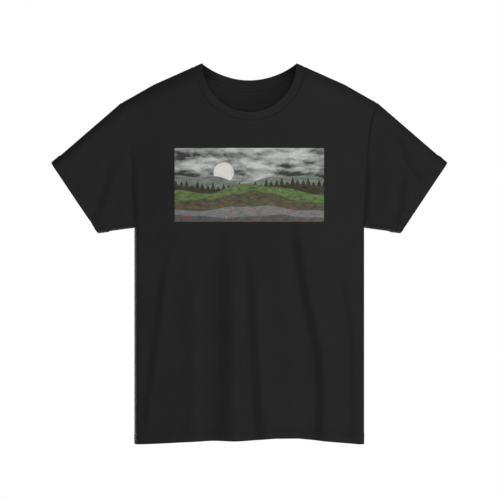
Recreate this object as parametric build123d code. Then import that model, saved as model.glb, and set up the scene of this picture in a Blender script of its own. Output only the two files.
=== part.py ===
from build123d import *
import math
import os

# Overall sizes of the shirt, millimetres.
BODY_LENGTH = 762.0      # shoulder at the neck down to the hem corners
BODY_WIDTH = 458.0       # across the body as it hangs
BODY_DEPTH = 136.0       # front of the chest to the back
SIDE_RADIUS = 48.0       # rounding of the body's two sides
HEM_RISE = 10.0          # how far the middle of the hem hangs above its corners

# Neck and shoulders.
NECK_WIDTH = 188.0       # between the two neck points, inside the band
FRONT_NECK_DROP = 100.0  # neck points down to the band's edge, front
BACK_NECK_DROP = 31.0    # the same at the back
SHOULDER_WIDTH = 504.0   # shoulder point to shoulder point
SHOULDER_DROP = 78.0     # neck points down to the shoulder points
SHOULDER_ARCH = 60.0     # height over which the shoulder rounds to front and back

# Sleeves.
ARMHOLE_DEPTH = 328.0    # neck points down to the underarm
ARMHOLE_BOW = 5.0        # how far the armhole seam bows towards the body
SLEEVE_LENGTH = 186.0    # shoulder point to the cuff along the top of the sleeve
SLEEVE_SLOPE = 40.5      # fall of the sleeve's top line, degrees
SLEEVE_TAPER = 84.0      # how much shorter the cuff line is than the armhole is tall
CUFF_LEAN = 57.5         # lean of the cuff line from level, degrees
SLEEVE_DEPTH = 78.0      # front to back through the sleeve

# Cloth and sewing.
CLOTH = 1.0              # jersey
RIB = 2.0                # folded rib of the neckband
BAND_WIDTH = 15.5        # neckband
HEM_DEPTH = 22.0         # turned-up hem of the body and of the cuffs
TAPE_WIDTH = 10.0        # tape over the seam inside the back of the neck
TAPE = 0.8
INK = 0.3                # printed film on the chest
FILM_GAP = 0.2           # clear space that keeps the film's facets off the cloth
PRINT_WIDTH = 297.5
PRINT_HEIGHT = 147.0
PRINT_BELOW_BAND = 56.0  # band's seam to the top of the print

# Hanging folds of the body. A turn is a hollow that rises to a ridge beside it, a roll a ridge alone.
# Places sideways, at the three levels, and spreads are shares of the body's half width; a spread runs
# from a turn's middle to its ridge, or is a roll's half width.
FOLDS_BELOW_PRINT = 3.5  # lower edge of the print to where the folds begin
FOLD_LEVELS = (0.525, 0.75, 1.06)  # sections that shape the folds, as shares of the body's length
FOLD_GROWTH = (0.65, 1.0, 1.0)     # share of their full height at each section
SIDE_FADE = 8            # power with which the folds die out towards the sides
FRONT_FOLDS = [
    {"kind": "roll", "places": (-0.489, -0.428, -0.428), "height": 3.4, "spread": 0.061},
    {"kind": "turn", "places": (-0.214, -0.205, -0.223), "height": 9.1, "spread": 0.087},
    {"kind": "turn", "places": (0.004, 0.044, 0.118), "height": 5.3, "spread": 0.052},
    {"kind": "roll", "places": (0.319, 0.336, 0.349), "height": 3.0, "spread": 0.087},
    {"kind": "turn", "places": (0.441, 0.590, 0.607), "height": 6.4, "spread": 0.057},
]
BACK_FOLDS = [
    {"kind": "turn", "places": (-0.559, -0.585, -0.611), "height": 3.1, "spread": 0.066},
    {"kind": "roll", "places": (-0.262, -0.279, -0.288), "height": 3.0, "spread": 0.096},
    {"kind": "turn", "places": (0.079, 0.057, 0.035), "height": 4.4, "spread": 0.074},
    {"kind": "roll", "places": (0.349, 0.367, 0.376), "height": 3.0, "spread": 0.087},
    {"kind": "turn", "places": (0.598, 0.642, 0.690), "height": -2.9, "spread": 0.061},
]
FOLD_STATIONS = 40       # steps across the body that carry a folded line

# Room given to shapes that are trimmed afterwards.
SPARE = 40.0
NEST = 2.0               # how far the sleeve's root sits inside the body's surface
ROOT_SHARE = 0.6         # where the sleeve's root lies, as a share of the shoulder
NUDGE = 0.5              # step over which the slope of a folded line is taken

HALF_WIDTH = BODY_WIDTH / 2
HALF_DEPTH = BODY_DEPTH / 2
NECK_HALF = NECK_WIDTH / 2
TIP_X = SHOULDER_WIDTH / 2
CUFF_OPENING = ARMHOLE_DEPTH - SHOULDER_DROP - SLEEVE_TAPER
FALL = (SHOULDER_DROP + NEST) / (TIP_X - NECK_HALF)
CUFF_TOP = (TIP_X + SLEEVE_LENGTH * math.cos(math.radians(SLEEVE_SLOPE)),
            -SHOULDER_DROP - SLEEVE_LENGTH * math.sin(math.radians(SLEEVE_SLOPE)))
CUFF_FOOT = (CUFF_TOP[0] - CUFF_OPENING * math.cos(math.radians(CUFF_LEAN)),
             CUFF_TOP[1] - CUFF_OPENING * math.sin(math.radians(CUFF_LEAN)))
UNDERARM = (HALF_WIDTH, -ARMHOLE_DEPTH)
SHOULDER = (TIP_X, -SHOULDER_DROP)
FAR = BODY_LENGTH + SHOULDER_WIDTH
PRINT_TOP = -(FRONT_NECK_DROP + BAND_WIDTH + PRINT_BELOW_BAND)
FOLD_START = PRINT_TOP - PRINT_HEIGHT - FOLDS_BELOW_PRINT


def front_arc_centre():
    """Distance behind the middle of the body of the wide front arc's centre."""
    across = HALF_WIDTH - SIDE_RADIUS
    deep = HALF_DEPTH - SIDE_RADIUS
    return (across ** 2 - deep ** 2) / (2 * deep)


def front_face(x):
    """Distance of the chest's surface in front of the middle of the body."""
    centre = front_arc_centre()
    return math.sqrt((HALF_DEPTH + centre) ** 2 - x ** 2) - centre


def side_turn(inset):
    """Point where the wide front and back meet the rounding of the side."""
    centre = front_arc_centre()
    span = math.hypot(HALF_WIDTH - SIDE_RADIUS, centre)
    radius = SIDE_RADIUS - inset
    return HALF_WIDTH - SIDE_RADIUS + radius * (HALF_WIDTH - SIDE_RADIUS) / span, radius * centre / span


def plan(front, back, inset):
    """Plan of the body from its front and back lines, closed by the rounded sides."""
    turn_x, turn_y = side_turn(inset)
    side = HALF_WIDTH - inset
    left = ThreePointArc((turn_x, -turn_y), (side, 0), (turn_x, turn_y))
    right = ThreePointArc((-turn_x, turn_y), (-side, 0), (-turn_x, -turn_y))
    return make_face([front, left, back, right])


def oval(inset):
    """Plan of the body above the folds: wide arcs front and back."""
    turn_x, turn_y = side_turn(inset)
    deep = HALF_DEPTH - inset
    front = ThreePointArc((-turn_x, -turn_y), (0, -deep), (turn_x, -turn_y))
    back = ThreePointArc((turn_x, turn_y), (0, deep), (-turn_x, turn_y))
    return plan(front, back, inset)


def folded(x, folds, level):
    """Distance of the folded cloth from the middle of the body at one level."""
    end_x, _ = side_turn(0)
    growth = FOLD_GROWTH[level] * (1 - (x / end_x) ** SIDE_FADE)
    reach = front_face(x)
    for entry in folds:
        t = (x / HALF_WIDTH - entry["places"][level]) / entry["spread"]
        turn = t * math.exp((1 - t ** 2) / 2)
        roll = math.exp(-t ** 2 / 2)
        reach += growth * entry["height"] * (turn if entry["kind"] == "turn" else roll)
    return reach


def folded_line(folds, level, inset, facing):
    """Line across the body at one level, facing 1 for the back and -1 for the front, drawn in by inset."""
    end_x, _ = side_turn(0)
    turn_x, turn_y = side_turn(inset)
    step = 2 * end_x / FOLD_STATIONS
    points = [(-turn_x, facing * turn_y)]
    for station in range(1, FOLD_STATIONS):
        x = station * step - end_x
        rise = (folded(x + NUDGE, folds, level) - folded(x - NUDGE, folds, level)) / (2 * NUDGE)
        share = inset / math.hypot(1, rise)
        points.append((x + share * rise, facing * (folded(x, folds, level) - share)))
    points.append((turn_x, facing * turn_y))
    lean = end_x / (front_face(end_x) + front_arc_centre())
    return Edge.make_spline(points, tangents=[(1, facing * lean), (1, -facing * lean)])


def folded_plan(level, inset):
    """Plan of the body through its folds."""
    front = folded_line(FRONT_FOLDS, level, inset, -1)
    back = folded_line(BACK_FOLDS, level, inset, 1)
    return plan(front, back, inset)


def roof(inset):
    """Everything below the two sloping shoulders."""
    peak = NECK_HALF * FALL
    wide = HALF_DEPTH + NEST - inset
    high = SHOULDER_ARCH - inset
    spring = peak - SHOULDER_ARCH
    arch = Plane.YZ * (Ellipse(wide, high) & Pos(0, high) * Rectangle(4 * wide, 2 * high))
    legs = Plane.YZ * (Pos(0, -FAR / 2) * Rectangle(2 * wide, FAR))
    profile = Pos(0, 0, spring) * (arch + legs)
    slope = extrude(profile, amount=FAR, dir=(1, 0, -FALL))
    return slope + mirror(slope, Plane.YZ)


def trunk_form(inset):
    """Body of the shirt: plain from the shoulders to the chest, folded below."""
    start = Pos(0, 0, FOLD_START) * oval(inset)
    chest = extrude(start, amount=SHOULDER_ARCH - FOLD_START)
    sections = [start]
    for level, share in enumerate(FOLD_LEVELS):
        sections.append(Pos(0, 0, -share * BODY_LENGTH) * folded_plan(level, inset))
    return (chest & roof(inset)) + loft(sections, ruled=True)


def strip(low, high, half_depth, inset):
    """Section of the sleeve standing on the line from low to high."""
    middle = ((low[0] + high[0]) / 2, 0, (low[1] + high[1]) / 2)
    along = Vector(high[0] - low[0], 0, high[1] - low[1])
    place = Plane(origin=middle, x_dir=along, z_dir=along.cross(Vector(0, 1, 0)))
    return place * SlotOverall(along.length - 2 * inset, 2 * (half_depth - inset))


def beyond(inner, outer):
    """Point past outer on the line from inner, in the spare length."""
    reach = SPARE / math.dist(inner, outer)
    return (outer[0] + reach * (outer[0] - inner[0]), outer[1] + reach * (outer[1] - inner[1]))


def sleeve_form(inset):
    """Sleeve of the wearer's left arm, rooted inside the body."""
    root_x = NECK_HALF + ROOT_SHARE * (TIP_X - NECK_HALF)
    root_top = -FALL * (root_x - NECK_HALF) - NEST
    root = strip((root_x, -ARMHOLE_DEPTH), (root_x, root_top), front_face(root_x) - NEST, inset)
    armhole = strip(UNDERARM, SHOULDER, SLEEVE_DEPTH / 2, inset)
    cuff = strip(beyond(UNDERARM, CUFF_FOOT), beyond(SHOULDER, CUFF_TOP), SLEEVE_DEPTH / 2, inset)
    return loft([root, armhole, cuff], ruled=True)


def form(inset):
    """Whole filled-out shirt, drawn in by inset from the outside of the cloth."""
    arm = sleeve_form(inset)
    return trunk_form(inset) + arm + mirror(arm, Plane.YZ)


def through(face, near, far):
    """Face drawn in X and Z, carried from near to far along Y."""
    return extrude(Plane.XZ.offset(-near) * face, amount=near - far)


def front_side(face):
    return through(face, -FAR, 0)


def back_side(face):
    return through(face, 0, FAR)


def both_sides(face):
    return through(face, -FAR, FAR)


def below_hem(raise_by):
    """Region under the hem line lifted by raise_by."""
    corner = -BODY_LENGTH + raise_by
    line = ThreePointArc((-HALF_WIDTH, corner), (0, corner + HEM_RISE), (HALF_WIDTH, corner))
    rest = Polyline((HALF_WIDTH, corner), (FAR, corner), (FAR, -2 * FAR), (-FAR, -2 * FAR),
                    (-FAR, corner), (-HALF_WIDTH, corner))
    return make_face([line, rest])


def past_cuff(back_by):
    """Region outside the left cuff line moved back_by towards the body."""
    along = Vector(CUFF_TOP[0] - CUFF_FOOT[0], CUFF_TOP[1] - CUFF_FOOT[1]).normalized()
    out = Vector(along.Y, -along.X)
    start = Vector(CUFF_FOOT[0], CUFF_FOOT[1]) - out * back_by
    near = start - along * SPARE
    far = start + along * (CUFF_OPENING + SPARE)
    reach = out * (2 * SPARE + back_by)
    return make_face(Polyline(near, far, far + reach, near + reach, close=True))


def arm_region():
    """Region outside the left armhole seam."""
    middle = ((SHOULDER[0] + UNDERARM[0]) / 2 - ARMHOLE_BOW, (SHOULDER[1] + UNDERARM[1]) / 2)
    seam = ThreePointArc(SHOULDER, middle, UNDERARM)
    over = (SHOULDER[0] + SPARE / 2, SHOULDER[1] + SPARE)
    under = (UNDERARM[0] + SPARE, min(UNDERARM[1], CUFF_FOOT[1]) - SPARE)
    rest = Polyline(UNDERARM, under, (FAR, under[1]), (FAR, over[1]), over, SHOULDER)
    return make_face([seam, rest])


def neck_arc(drop):
    """Radius and centre height of the neck edge that falls by drop."""
    radius = (NECK_HALF ** 2 + drop ** 2) / (2 * drop)
    return radius, radius - drop


def front_neck(grow):
    """Region above the front neck edge, widened by grow."""
    radius, height = neck_arc(FRONT_NECK_DROP)
    wide = radius + grow
    return Pos(0, height) * (Circle(wide) + Pos(0, FAR / 2) * Rectangle(2 * wide, FAR))


def back_neck(grow):
    """Region above the back neck edge, widened by grow."""
    radius, height = neck_arc(BACK_NECK_DROP)
    return Pos(0, height) * Circle(radius + grow)


outside = form(0)
inside = form(CLOTH)
inner_lining = form(2 * CLOTH)

open_ends = both_sides(below_hem(0)) + both_sides(past_cuff(0))
open_ends += mirror(both_sides(past_cuff(0)), Plane.YZ)
left_arm = both_sides(arm_region())
right_arm = mirror(left_arm, Plane.YZ)
cuff_zone = both_sides(past_cuff(HEM_DEPTH))

jersey = outside - inside - open_ends
turned = inside - inner_lining - open_ends
trunk = jersey + (turned & both_sides(below_hem(HEM_DEPTH)))
trunk = trunk - left_arm - right_arm

front_panel = trunk - back_side(Rectangle(4 * FAR, 4 * FAR)) - front_side(front_neck(BAND_WIDTH))
back_panel = trunk - front_side(Rectangle(4 * FAR, 4 * FAR)) - back_side(back_neck(BAND_WIDTH))
sleeve_left = (jersey + (turned & cuff_zone)) & left_arm
sleeve_right = mirror(sleeve_left, Plane.YZ)

band_front = front_side(front_neck(BAND_WIDTH) - front_neck(0))
band_back = back_side(back_neck(BAND_WIDTH) - back_neck(0))
neckband = (outside - form(RIB)) & (band_front + band_back)

tape_strip = back_side(back_neck(BAND_WIDTH + TAPE_WIDTH) - back_neck(BAND_WIDTH))
neck_tape = (inside - form(CLOTH + TAPE)) & tape_strip

film = extrude(Pos(0, 0, FOLD_START) * (oval(-FILM_GAP - INK) - oval(-FILM_GAP)), amount=-FOLD_START)
print_middle = PRINT_TOP - PRINT_HEIGHT / 2
chest_print = film & front_side(Pos(0, print_middle) * Rectangle(PRINT_WIDTH, PRINT_HEIGHT))

nodes = {
    "front_panel": front_panel,
    "back_panel": back_panel,
    "sleeve_left": sleeve_left,
    "sleeve_right": sleeve_right,
    "neckband": neckband,
    "neck_tape": neck_tape,
    "chest_print": chest_print,
}
os.makedirs("parts", exist_ok=True)
for name, solid in nodes.items():
    export_step(solid, f"parts/{name}.step")
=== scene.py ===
"""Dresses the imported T-shirt with cloth panels, sleeves, a rib neckband, tape, print and stitching."""

import math

import bmesh
import bpy
import numpy as np
from bpy.props import FloatProperty, FloatVectorProperty, PointerProperty
from bpy.types import Operator, Panel, PropertyGroup
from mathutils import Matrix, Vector


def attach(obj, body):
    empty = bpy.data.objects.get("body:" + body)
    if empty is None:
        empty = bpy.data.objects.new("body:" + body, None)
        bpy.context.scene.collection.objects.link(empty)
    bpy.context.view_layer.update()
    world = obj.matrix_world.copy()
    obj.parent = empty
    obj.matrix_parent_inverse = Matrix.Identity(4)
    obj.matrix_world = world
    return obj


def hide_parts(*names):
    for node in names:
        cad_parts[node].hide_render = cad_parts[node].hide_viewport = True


bl_info = {
    "name": "T-shirt",
    "version": (1, 0, 0),
    "blender": (4, 5, 0),
    "location": "View3D > Sidebar > T-shirt",
    "description": "Sews a worn-shape T-shirt over its solid frame",
    "category": "Object",
}

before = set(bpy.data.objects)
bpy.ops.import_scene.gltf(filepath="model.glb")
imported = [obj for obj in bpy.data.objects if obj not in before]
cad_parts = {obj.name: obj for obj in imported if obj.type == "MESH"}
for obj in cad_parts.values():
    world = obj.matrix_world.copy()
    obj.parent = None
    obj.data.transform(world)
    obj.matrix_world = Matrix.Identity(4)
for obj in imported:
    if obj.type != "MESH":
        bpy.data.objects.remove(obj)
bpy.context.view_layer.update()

# Outline of one half seen from the front, metres: sideways, upwards.
NECK_POINT = (0.0940, 0.0)
SHOULDER_BEND = (0.191, -0.0432)
SHOULDER_TIP = (0.255, -0.0795)
CUFF_TOP = (0.3950, -0.2005)
CUFF_FOOT = (0.303, -0.338)
UNDERARM = (0.2295, -0.328)

# Hem of the front: place across as a share of the half width, rise above the corners.
FRONT_HEM = [(-1.0, 0.0), (-0.83, 0.0015), (-0.55, 0.0055), (-0.30, 0.0085), (-0.12, 0.0075), (0.05, 0.0095),
             (0.18, 0.0125), (0.37, 0.0145), (0.52, 0.0105), (0.73, 0.0055), (1.0, -0.0005)]
BACK_HEM = [(-1.0, -0.0005), (-0.6, 0.004), (-0.2, 0.008), (0.15, 0.006), (0.55, 0.007), (1.0, 0.0)]

# Rolling folds: points (sideways, up), height out of the cloth, half width, share faded in, share faded out.
FRONT_FOLDS = [
    ([(-0.122, -0.330), (-0.110, -0.470), (-0.110, -0.600), (-0.110, -0.775)], 0.0052, 0.0105, 0.40, 0.0),
    ([(0.070, -0.330), (0.075, -0.470), (0.078, -0.600), (0.080, -0.775)], 0.0030, 0.020, 0.40, 0.0),
    ([(0.166, -0.500), (0.174, -0.640), (0.176, -0.775)], 0.0020, 0.013, 0.50, 0.0),
    ([(-0.285, -0.170), (-0.312, -0.240), (-0.330, -0.290)], 0.0025, 0.011, 0.35, 0.30),
    ([(0.268, -0.165), (0.280, -0.235), (0.284, -0.310)], 0.0020, 0.011, 0.35, 0.30),
    ([(-0.2385, -0.150), (-0.2345, -0.240), (-0.2310, -0.322)], -0.0062, 0.0048, 0.60, 0.06),
    ([(0.2375, -0.150), (0.2335, -0.240), (0.2300, -0.322)], -0.0062, 0.0048, 0.60, 0.06),
]
# Hanging folds, each a hollow on one side that turns up to a ridge on the other: points from the top down,
# half the rise, half width of the turn, reach to either side, share faded in, share faded out.
FRONT_TURNS = [
    ([(-0.043, -0.274), (-0.049, -0.404), (-0.048, -0.514), (-0.047, -0.575), (-0.051, -0.695),
      (-0.051, -0.775)], 0.0145, 0.0205, 0.045, 0.42, 0.0),
    ([(-0.003, -0.335), (0.003, -0.430), (0.010, -0.575), (0.017, -0.695), (0.026, -0.775)],
     0.0090, 0.0136, 0.028, 0.30, 0.0),
    ([(0.085, -0.305), (0.094, -0.354), (0.107, -0.440), (0.122, -0.514), (0.137, -0.580), (0.141, -0.650),
      (0.139, -0.775)], 0.0088, 0.0115, 0.029, 0.14, 0.0),
    ([(-0.156, -0.345), (-0.171, -0.420), (-0.182, -0.514), (-0.195, -0.610), (-0.206, -0.695),
      (-0.214, -0.765)], 0.0044, 0.0072, 0.020, 0.28, 0.15),
    ([(0.174, -0.370), (0.190, -0.454), (0.204, -0.530), (0.206, -0.640), (0.209, -0.765)],
     0.0036, 0.0075, 0.020, 0.30, 0.10),
    ([(-0.260, -0.175), (-0.282, -0.245), (-0.309, -0.325)], 0.0046, 0.0105, 0.026, 0.40, 0.05),
    ([(0.296, -0.135), (0.3145, -0.190), (0.3465, -0.244)], 0.0028, 0.0072, 0.022, 0.35, 0.15),
    ([(0.3150, -0.205), (0.3085, -0.262), (0.2995, -0.325)], 0.0034, 0.0086, 0.022, 0.35, 0.05),
]
BACK_FOLDS = [
    ([(-0.060, -0.380), (-0.064, -0.560), (-0.066, -0.770)], 0.0030, 0.022, 0.50, 0.0),
    ([(0.080, -0.380), (0.084, -0.560), (0.086, -0.770)], 0.0030, 0.020, 0.50, 0.0),
    ([(-0.222, -0.300), (-0.180, -0.220), (-0.130, -0.160)], -0.0040, 0.0100, 0.25, 0.50),
    ([(0.222, -0.300), (0.184, -0.225), (0.138, -0.165)], -0.0040, 0.0100, 0.25, 0.50),
    ([(-0.270, -0.180), (-0.288, -0.240), (-0.305, -0.305)], -0.0035, 0.0080, 0.30, 0.30),
    ([(0.268, -0.170), (0.290, -0.235), (0.310, -0.300)], -0.0035, 0.0080, 0.30, 0.30),
]
BACK_TURNS = [
    ([(-0.120, -0.250), (-0.132, -0.480), (-0.140, -0.775)], 0.0040, 0.0110, 0.036, 0.45, 0.0),
    ([(0.022, -0.280), (0.014, -0.520), (0.008, -0.775)], 0.0055, 0.0130, 0.040, 0.50, 0.0),
    ([(0.128, -0.240), (0.142, -0.480), (0.158, -0.775)], -0.0038, 0.0100, 0.034, 0.45, 0.0),
]

# Slow unevenness of relaxed cloth: height, then for each of two crossed waves its radians per metre
# across and up, and how much of the panel's own shift it takes.
RIPPLES = [
    (0.0010, (31.0, 9.0, 1.0), (-5.0, 17.0, 2.0)),
    (0.0006, (67.0, -23.0, 3.0), (0.0, 41.0, 1.3)),
    (0.0003, (150.0, 60.0, 1.0), (-44.0, 118.0, 0.0)),
]
BACK_SHIFT = 2.1         # shift of the back's waves, so that they differ from the front's

# Armhole seam, which leans outwards going up and flares at the shoulder.
ARMHOLE_LEAN = 0.0395    # sideways per metre of height
ARMHOLE_FLARE = 0.0158   # flare at the shoulder
FLARE_HEIGHT = 0.0384    # height over which the flare dies out below the shoulder
FLARE_START = 0.05       # height above the underarm at which the flare is whole

# Rounding of the folded edges, with places measured from the middle towards the cuff.
ROOF_PLACES = (0.0, 0.10, 0.25, 0.31)
ROOF_ROUNDS = (0.040, 0.037, 0.026, 0.019)
FLOOR_PLACES = (0.20, 0.24, 0.30)
SLEEVE_ROUND = 0.010     # lower edge of the sleeve, at the last of these places
TRUNK_REACH = 0.4        # the curve across the body goes on level beyond this
SLEEVE_BLEND = 0.006     # softness of the change from body to sleeve

# Quads.
ACROSS = 208             # quads across a panel
YOKE_ROWS = 84           # quads up an armhole
SLEEVE_ROWS = 44         # quads along a sleeve above its hem
FINE = 700               # points used to measure a line before it is shared out evenly
ROUND_STEPS = 4001       # the same across the body, whose sides turn sharply
NECK_FAN = 0.93          # where the columns of quads under the back of the neck spread from
NECK_TURN = 0.52         # share of the front neck line that lies under the neck, the rest beside it
NECK_COLUMN = 0.086      # sideways place, at the underarm, of the column that meets that point
NECK_EASE = 1.6          # how strongly points crowd towards the shoulder on the front neck line
NECK_NEAR = 0.05         # reach round the neck within which its seam is felt
HEM_EDGE_ROWS = (0.0, 0.0004, 0.0009, 0.0018, 0.0032, 0.005, 0.0075, 0.010)
STITCH_ROWS = (-0.0021, -0.0012, -0.0005, 0.0, 0.0005, 0.0012, 0.0021)  # about a row of hem stitches
ABOVE_HEM_ROWS = (0.004, 0.0065)
ROW_PITCH = 0.0033       # height of the quads above a hem
ROW_SPARE = 0.0015       # least height of the last of them
HEM_WAVE_REACH = 0.010   # height above the stitches up to which rows follow the hem's waves
HEM_STEPS = 801          # points across the body that carry the line of the hem
HEM_SMOOTH = 50          # steps to either side over which that line is smoothed

# Sewn relief.
SEAM_FURROW = 0.0021     # half width of the furrow at a seam
PUFF_SHARE = 0.35        # extra fullness beside a seam, as a share of the puff
PUFF_PLACE = 0.0055      # its distance from the seam
PUFF_WIDTH = 0.0026      # its half width
HEM_DOUBLED = 0.0004     # step where the hem's second layer ends
DOUBLED_END = (-0.0005, 0.0028)  # heights about the upper stitches between which that step falls
LAYER_END = (0.001, 0.003)       # the same for the thickness of the cloth
STITCH_FURROW = 0.0009   # half width of a stitched furrow
HEM_PULL = 0.0008        # depth of the furrows on the body's hem
CUFF_PULL = 0.0004       # and on the cuffs
EDGE_ROLL = 0.0007       # how far a hem's edge rolls in, and the height over which it does
PUCKER = 0.00026         # height of a hem's puckers
PUCKER_LENGTH = 0.0230
PUCKER_SLANT = 45.0      # puckers passed per metre going straight up
PUCKER_DRIFT = ((2.2, 39.0), (1.0, 83.0))  # uneven spacing: radians, radians per metre
PUCKER_START = 0.004     # height above the edge at which they are whole
PUCKER_END = (-0.002, 0.008)     # heights about the upper stitches between which they die out
SEAM_FLAT = 0.002        # distance from a side seam within which a hem lies flat

# Neckband, as shares of its width from the seam and of half its thickness.
BAND_PROFILE = [
    (0.00, 0.10), (0.03, 0.55), (0.09, 0.95), (0.18, 1.05), (0.35, 1.06), (0.55, 1.06), (0.75, 1.05),
    (0.88, 1.0), (0.955, 0.78), (0.99, 0.42), (1.0, 0.0), (0.99, -0.42), (0.955, -0.78), (0.88, -0.95),
    (0.70, -0.95), (0.45, -0.95), (0.20, -0.95), (0.05, -0.85), (0.00, -0.60), (0.00, -0.10), (0.00, 0.10),
]
RIB_COLUMNS = 4          # columns of quads on a rib
RIB_HEIGHT = 0.00023
RIB_COURSE = 0.0011      # one row of loops
RIB_EDGE = 0.03          # share of the width at either edge where the ribs are lower
RIB_EDGE_SHARE = 0.35
BAND_LIFT = 0.0004       # how far the band stands off the cloth's surface

# Neck tape.
TAPE_STEPS = (0.0, 0.05, 0.15, 0.5, 0.85, 0.95, 1.0)  # rows, as shares of its width
TAPE_LIFTS = (0.0016, 0.0017, 0.0017, 0.0014, 0.0009, 0.0007, 0.0006)  # how far they stand inside the cloth
TAPE_STITCHES = (2, 4)   # rows that are sewn
TAPE_REACH = 0.985       # share of the back neck line that it covers
TAPE_COLUMNS = 180
TAPE_OVERLAP = 0.0030    # how far it lies on the band
TAPE_THICK = 0.0006
TAPE_WEAVE = (0.0009, 0.0018)  # size of its threads across and up

# Printed film.
INK_COLUMNS = 140
INK_ROWS = 70
INK_LIFT = 0.0003        # above the full cloth
INK_THICK = 0.00015

# Stitches.
STITCH_STEPS = 6         # rings of a stitch
THREAD_SIDES = 6
THREAD_DIP = 0.0006      # how far a stitch dives into the cloth
THREAD_RISE = 0.0008     # from there to its crown
THREAD_HALF = (0.00028, 0.00030)  # half its thickness, out of the cloth and along it
THREAD_GIRTH = 0.0018
THREAD_ROUGH = (0.2, 0.45)        # spread of its roughness, and the least
NECK_STITCHES = (0.0024, 0.0078)  # rows, by their distance from the neck seam
NECK_STITCH_REACH = 0.995         # share of the neck line that they cover
SLOPE_STEP = 0.0005      # step over which the slope of the cloth is taken

# Knit, metres.
WALE = 0.00125           # one column of loops
COURSE = 0.00095         # one row of loops
LOOP_SLANT = 1.1         # rows that a loop's leg climbs over one column
LOOP_SWING = (0.28, 0.62)  # swing and level of the height along a leg
WALE_POWER = 2.4         # how squarely a column stands up from its valleys
KNIT_VALLEY_PAINTED_SHADE = 0.35      # share of the dark colour painted into them as shade
YARN_HEIGHT = 0.35       # unevenness of the yarn, beside a loop's height of about 1
YARN_ROUGH = 0.14        # spread of its roughness
LINT_ABOVE = 0.735       # noise above which a speck of lint lies on the cloth
LINT_SHARE = 0.5         # how much of its pale shade shows

# Ridges of the print from the far one to the near one: colour, its dark and light share, height, whether
# trees stand on it, and its swings as height, radians per metre and shift.
PRINT_RIDGES = [
    ("mist", 0.6, 1.5, 0.086, False, [(0.007, 31.0, 0.4), (0.004, 67.0, 1.9)]),
    ("wood", 0.25, 1.3, 0.068, True, [(0.006, 23.0, 2.4)]),
    ("hill", 0.40, 1.7, 0.066, False, [(0.009, 27.0, 3.5), (0.003, 59.0, 0.2)]),
    ("wood", 0.675, 2.55, 0.044, False, [(0.014, 15.0, 5.6), (0.004, 41.0, 1.1), (0.0012, 130.0, 0.3)]),
    ("ground", 0.7, 1.3, 0.027, False, [(0.005, 24.0, 4.0), (0.0015, 71.0, 0.5)]),
    ("ground", 0.27, 0.675, 0.011, False, [(0.003, 33.0, 1.3), (0.001, 83.0, 2.5)]),
]
SUN_PLACE = 0.098        # from the print's left edge, and from its lower one
SUN_RADIUS = 0.020
SUN_COLOUR = (0.80, 0.79, 0.75)
SUN_EDGE = 600.0         # sharpness of its edge
RIDGE_EDGE = 900.0       # and of the ridges' edges
TREES = (95.0, 0.2)      # trees per metre, and their shift
TREE_SWINGS = (37.0, 0.7)    # swings of their height per metre, and their shift
TREE_HEIGHT = (0.05, 0.012)  # gain of those swings, and the least
DOTS_BELOW = 0.040       # height under which the print has its small dots
DOTS_PER_METRE = 105.0
DOT_SIZE = 0.2           # radius, as a share of the space for a dot
CLOUD_STRETCH = (1.0, 1.0, 3.0)  # squeezes the clouds' noise upwards, so that they lie level
INK_ROUGH = (0.2, 0.6)   # spread of its roughness, and the least
INK_WEAR = (0.5, -0.08)  # gain and shift of the grain that shows the cloth through the ink
WORN_INK = (0.03, 0.03, 0.03)

# Stage.
FLOOR_LEVEL = -1.15
FLOOR_RADIUS = 3.6
FLOOR_GLOW = 0.22        # keeps the floor pale away from the lights
FILL = 0.070             # light from all round
SHIRT_MIDDLE = (0.0, 0.0, -0.38)
BANKS = [                # soft lights: name, place, width and height, watts
    ("front_bank", (0.0, -8.5, -0.55), (0.7, 0.5), 160.0),
    ("right_bank", (2.9, -1.85, 0.9), (2.4, 2.8), 53.0),
    ("left_bank", (-3.0, -1.6, 1.3), (2.4, 2.8), 9.0),
    ("top_bank", (0.0, -2.5, 2.2), (2.4, 1.4), 40.0),
    ("back_bank", (-0.9, 3.4, -0.5), (2.6, 1.3), 160.0),
]
SPOT_POWER = 580.0
SPOT_ANGLE = math.radians(1.5)
SPOT_PLACE = (0.0, -8.0, -0.30)
SPOT_TARGET = (0.0, 0.05, -0.030)
CAMERA_PLACE = (0.0015, -8.0, -0.3741)
FRAME_WIDTH = 1.003      # width seen at the middle of the shirt
SENSOR = 36.0            # millimetres


def length_property(name, description, default):
    """Length for the sidebar, in metres."""
    return FloatProperty(
        name=name, description=description, default=default, subtype="DISTANCE", unit="LENGTH")


def colour_property(name, description, default):
    """Colour for the sidebar."""
    return FloatVectorProperty(
        name=name, description=description, default=default, subtype="COLOR", size=3, min=0.0, max=1.0)


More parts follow.
